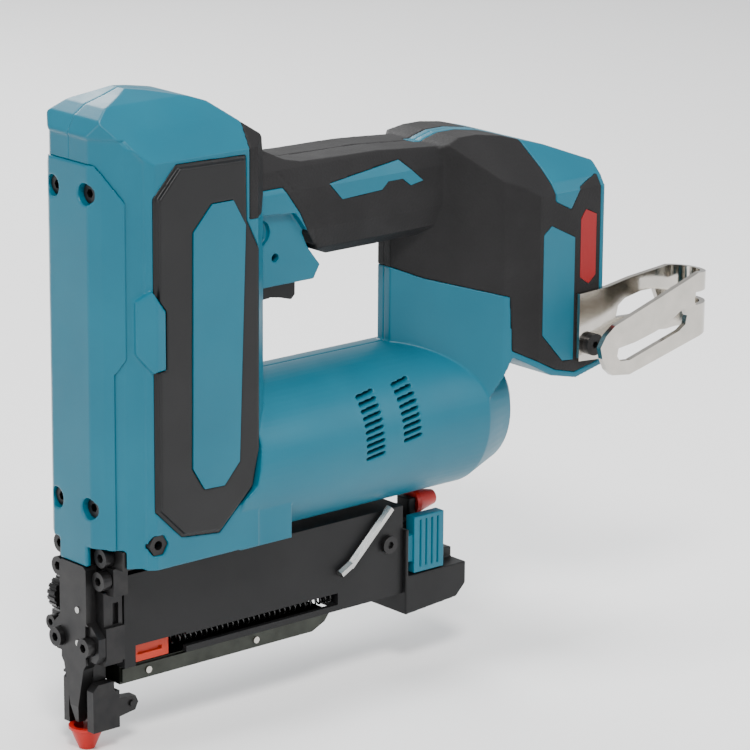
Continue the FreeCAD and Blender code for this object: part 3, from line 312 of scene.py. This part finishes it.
FINISH = {
    "teal": ["housing_left", "housing_right", "front_cover", "latch_lever", "trim_plates"],
    "grip": ["grip_left", "grip_right"],
    "glossy_black": ["side_panel_left", "side_panel_right"],
    "black": ["trigger", "end_cap", "magazine_door", "magazine_body", "controller_board",
              "terminal_block", "motor_fan", "trigger_switch", "battery_rails"],
    "red": ["mount_badges"],
    "tip": ["nose_adapter", "spare_adapter"],
    "orange": ["pusher"],
    "black_steel": ["nose_plate", "driver_guide", "contact_arm", "contact_pin", "front_screws",
                    "dial_bracket", "depth_dial", "housing_screws", "drive_frame", "gearbox_case",
                    "hook_screw", "nuts", "door_screw"],
    "nickel": ["belt_hook", "rail_rivets"],
    "dark_spring": ["pusher_spring"],
    "bright": ["hex_wrench", "main_spring", "trigger_spring", "latch_spring", "nose_pins",
               "driver_blade", "lift_gear", "drive_gear", "planet_carrier", "ring_gear",
               "planet_gear_1", "planet_gear_2", "planet_gear_3", "bearings", "guide_rod",
               "trigger_pin", "motor_rotor", "motor_stator"],
    "rail": ["magazine_rail"],
    "cast": ["plunger", "motor_mount"],
    "bumper": ["bumper"],
}


def paint(piece, material):
    """The piece in one material only."""
    piece.data.materials.clear()
    piece.data.materials.append(material)


# ---------------------------------------------------------------- pieces
EDGE_WIDTH = 0.2 * MM
EDGE_ANGLE = math.radians(35)    # sharper edges than this are broken

MOULDED = {                      # voxel in mm, rounds of smoothing
    "housing_left": (0.42, 3),
    "housing_right": (0.42, 3),
    "front_cover": (0.42, 3),
    "grip_left": (0.5, 4),
    "grip_right": (0.5, 4),
    "side_panel_left": (0.4, 3),
    "side_panel_right": (0.4, 3),
    "end_cap": (0.35, 4),
    "latch_lever": (0.25, 2),
    "trigger": (0.3, 3),
}

X, Y, Z = 0, 1, 2
SPRINGS = {                      # body at the lower end, body at the upper end, axis
    "main_spring": ("plunger", "tool", Z),
    "pusher_spring": ("pusher", "magazine_door", X),
    "trigger_spring": ("trigger", "tool", Z),
    "latch_spring": ("latch_lever", "magazine_door", Y),
}


def copy_of(node, ending):
    """A new object with a copy of a CAD node's mesh."""
    piece = bpy.data.objects.new(node + ending, frame["nodes"][node].data.copy())
    link(piece)
    return piece


def body_of(node):
    bodies = frame["record"]["behaviour"]["bodies"]
    return next(name for name, nodes in bodies.items() if node in nodes)


def moulded(node):
    """A copy of a moulded CAD node with the small radii that a mould leaves on every edge."""
    voxel, rounds = MOULDED[node]
    piece = copy_of(node, "_skin")
    remesh = piece.modifiers.new("remesh", "REMESH")
    remesh.mode = "VOXEL"
    remesh.voxel_size = voxel * MM
    remesh.use_smooth_shade = True
    smooth = piece.modifiers.new("smooth", "SMOOTH")
    smooth.iterations = rounds
    smooth.factor = 0.5
    evaluated = piece.evaluated_get(bpy.context.evaluated_depsgraph_get())
    rounded = bpy.data.meshes.new_from_object(evaluated)
    piece.modifiers.clear()
    piece.data = rounded
    body = body_of(node)
    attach(piece, body)
    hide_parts(node)
    return piece


def sprung(node):
    """A copy of a spring, baked where it stands between the body that moves and the one that stays.
    """
    moving, fixed, axis = SPRINGS[node]
    piece = copy_of(node, "_coils")
    low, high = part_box(node)
    start = (low + high) / 2
    end = start.copy()
    start[axis] = low[axis]
    end[axis] = high[axis]
    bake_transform(piece)
    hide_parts(node)
    return piece


def break_edges(piece):
    """The fine broken edge of a machined or stamped piece."""
    bevel = piece.modifiers.new("edges", "BEVEL")
    bevel.width = EDGE_WIDTH
    bevel.segments = 2
    bevel.limit_method = "ANGLE"
    bevel.angle_limit = EDGE_ANGLE


def make_pieces():
    finish_of = {node: name for name, nodes in FINISH.items() for node in nodes}
    for node, source in frame["nodes"].items():
        if node in MOULDED:
            piece = moulded(node)
        elif node in SPRINGS:
            piece = sprung(node)
        else:
            piece = source
            break_edges(piece)
        paint(piece, MATERIALS[finish_of[node]])


make_camera()
make_lights()
make_floor(floor_material())
make_pieces()
